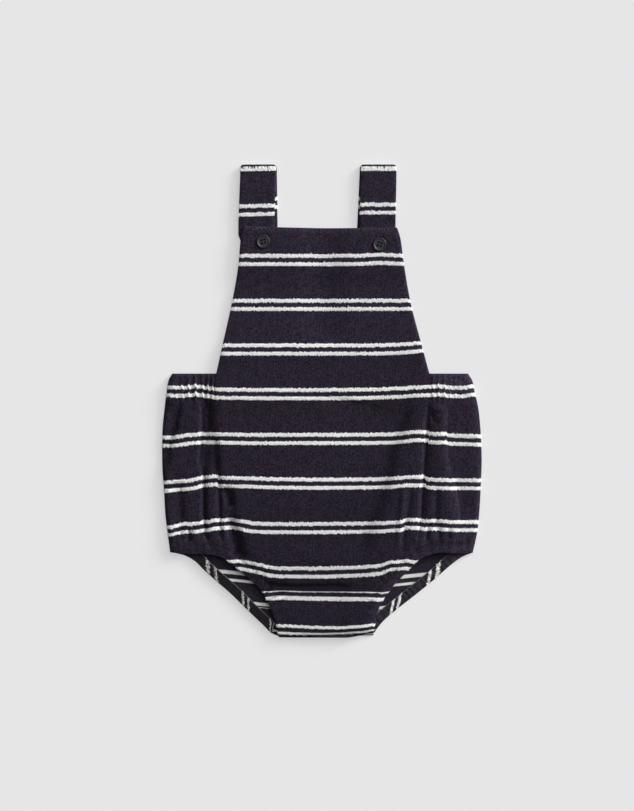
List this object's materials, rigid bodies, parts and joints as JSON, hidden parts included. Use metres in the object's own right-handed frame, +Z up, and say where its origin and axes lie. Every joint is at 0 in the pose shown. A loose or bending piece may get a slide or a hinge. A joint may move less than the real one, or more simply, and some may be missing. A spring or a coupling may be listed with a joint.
{
  "type": "knit romper",
  "caption": "Baby's sleeveless bib romper in striped terry knit, laid flat with folded shoulder straps, buttoned bib, gathered waist and elasticated leg openings.",
  "frame": {"origin": "on the surface that the romper lies on, below the middle of its bounding box", "axes": "+X to the right as the front is seen from above, +Y towards the shoulder straps, +Z up from the surface"},
  "size_m": [0.2714, 0.4008, 0.0099],
  "materials": {
    "striped_knit": "matt navy terry knit with rough-edged cream stripes in pairs",
    "button_plastic": "satin"
  },
  "bodies": {
    "root": {"front_panel": "striped_knit", "back_panel": "striped_knit", "leg_casing_left": "striped_knit", "leg_casing_right": "striped_knit", "strap_left": "striped_knit", "strap_right": "striped_knit", "button_left": "button_plastic", "button_right": "button_plastic"}
  },
  "joints": []
}
